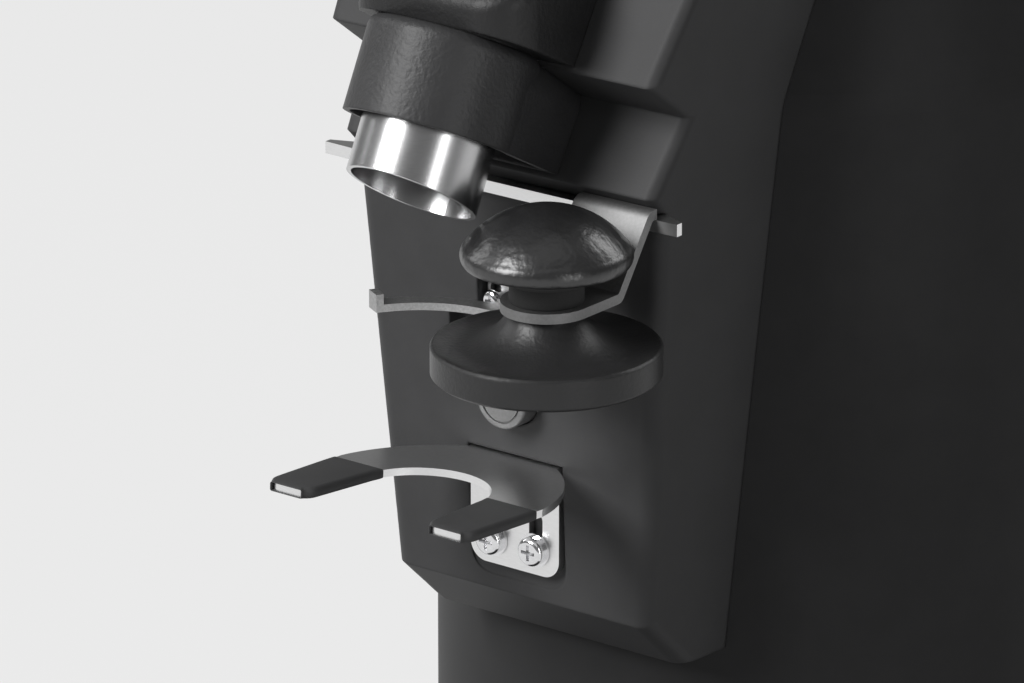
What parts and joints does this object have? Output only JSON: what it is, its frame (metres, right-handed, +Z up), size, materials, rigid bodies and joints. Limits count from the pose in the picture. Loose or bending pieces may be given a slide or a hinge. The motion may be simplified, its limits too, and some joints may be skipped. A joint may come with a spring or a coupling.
{
  "type": "burr coffee grinder",
  "caption": "Tall on-demand burr coffee grinder with round body, front column, tilted spout, portafilter fork, clamped tamper, start button and bean hopper.",
  "frame": {"origin": "on the resting plane under the feet, in the middle of the bounding box", "axes": "+Z up, front with spout and fork faces -Y, +X to the right seen from the front"},
  "size_m": [0.196, 0.2866, 0.5822],
  "materials": {
    "charcoal": "matte powder coat over die-cast aluminium",
    "black_plastic": "satin moulded plastic",
    "black_tamper": "satin black coat",
    "steel": "brushed",
    "screw_steel": "polished zinc",
    "rubber": "matte rubber",
    "smoke": "clear smoke",
    "display": "gloss",
    "board": "solder mask",
    "alloy": "die cast",
    "burr_steel": "ground",
    "copper": "enamelled wire",
    "iron": "laminated"
  },
  "bodies": {
    "frame": {"base_plate": "charcoal", "main_housing": "charcoal", "front_column": "charcoal", "spout_housing": "charcoal", "chute_hood": "charcoal", "bottom_cover": "black_plastic", "control_panel": "black_plastic", "grounds_chute": "black_plastic", "button_guide": "black_plastic", "start_switch": "black_plastic", "switch_body": "black_plastic", "power_inlet": "black_plastic", "tamper_knob": "black_plastic", "tamper_base": "black_tamper", "holder_bar": "steel", "tamper_arm": "steel", "spout_tube": "steel", "button_spring": "steel", "base_screws": "screw_steel", "fork_screws": "screw_steel", "hook_screws": "screw_steel", "chamber_screws": "screw_steel", "motor_bolts": "screw_steel", "tamper_stud": "screw_steel", "rubber_feet": "rubber", "display_lens": "display", "control_board": "board", "burr_chamber": "alloy", "motor_frame": "alloy", "run_capacitor": "alloy", "lower_bearing": "burr_steel", "upper_bearing": "burr_steel", "stator_windings": "copper", "stator_core": "iron"},
    "rotor": {"motor_shaft": "burr_steel", "rotor_core": "iron", "cooling_fan": "black_plastic", "burr_carrier": "alloy", "lower_burr": "burr_steel", "lower_burr_screws": "screw_steel"},
    "collar": {"adjusting_collar": "black_plastic"},
    "upper_burr_set": {"upper_carrier": "alloy", "upper_burr": "burr_steel", "upper_burr_screws": "screw_steel"},
    "hopper": {"hopper": "smoke", "finger_guard": "black_plastic"},
    "gate": {"hopper_gate": "black_plastic"},
    "lid": {"hopper_lid": "black_plastic"},
    "fork": {"fork_plate": "steel", "fork_cap_left": "rubber", "fork_cap_right": "rubber"},
    "hook": {"hook_plate": "steel"},
    "start_key": {"start_button": "steel"},
    "menu_key_left": {"menu_button_left": "black_plastic"},
    "menu_key_middle": {"menu_button_middle": "black_plastic"},
    "menu_key_right": {"menu_button_right": "black_plastic"},
    "power_key": {"power_rocker": "black_plastic"},
    "tray": {"grounds_tray": "black_plastic"}
  },
  "joints": [
    {"name": "burr_spin", "type": "hinge", "parent": "frame", "child": "rotor", "pos_m": [0, 0.04525, 0], "axis": [0, 0, 1], "continuous": true},
    {"name": "collar_turn", "type": "hinge", "parent": "frame", "child": "collar", "pos_m": [0, 0.04525, 0], "axis": [0, 0, 1], "range_deg": [-150, 150]},
    {"name": "burr_gap", "type": "slide", "parent": "collar", "child": "upper_burr_set", "axis": [0, 0, 1], "range_m": [-0.00063, 0.00063]},
    {"name": "hopper_lift", "type": "slide", "parent": "collar", "child": "hopper", "axis": [0, 0, 1], "range_m": [0, 0.05]},
    {"name": "gate_slide", "type": "slide", "parent": "hopper", "child": "gate", "axis": [0, -1, 0], "range_m": [0, 0.052]},
    {"name": "lid_lift", "type": "slide", "parent": "hopper", "child": "lid", "axis": [0, 0, 1], "range_m": [0, 0.06]},
    {"name": "fork_height", "type": "slide", "parent": "frame", "child": "fork", "axis": [0, 0, 1], "range_m": [-0.003, 0]},
    {"name": "hook_height", "type": "slide", "parent": "frame", "child": "hook", "axis": [0, 0, 1], "range_m": [-0.003, 0.003]},
    {"name": "start_press", "type": "slide", "parent": "frame", "child": "start_key", "axis": [0, -1, 0], "range_m": [-0.003, 0], "stiffness_N_per_m": 400},
    {"name": "menu_press_left", "type": "slide", "parent": "frame", "child": "menu_key_left", "axis": [0, -0.394, 0.9191], "range_m": [-0.001, 0], "stiffness_N_per_m": 400},
    {"name": "menu_press_middle", "type": "slide", "parent": "frame", "child": "menu_key_middle", "axis": [0, -0.394, 0.9191], "range_m": [-0.001, 0], "stiffness_N_per_m": 400},
    {"name": "menu_press_right", "type": "slide", "parent": "frame", "child": "menu_key_right", "axis": [0, -0.394, 0.9191], "range_m": [-0.001, 0], "stiffness_N_per_m": 400},
    {"name": "power_rock", "type": "hinge", "parent": "frame", "child": "power_key", "pos_m": [-0.091, 0.02, 0.021], "axis": [0, 0, 1], "range_deg": [0, 14]},
    {"name": "tray_lift", "type": "slide", "parent": "frame", "child": "tray", "axis": [0, 0, 1], "range_m": [0, 0.04]}
  ],
  "couplings": [
    {"joint": "burr_gap", "follows": "collar_turn", "m_per_rad": 0.00023873}
  ]
}
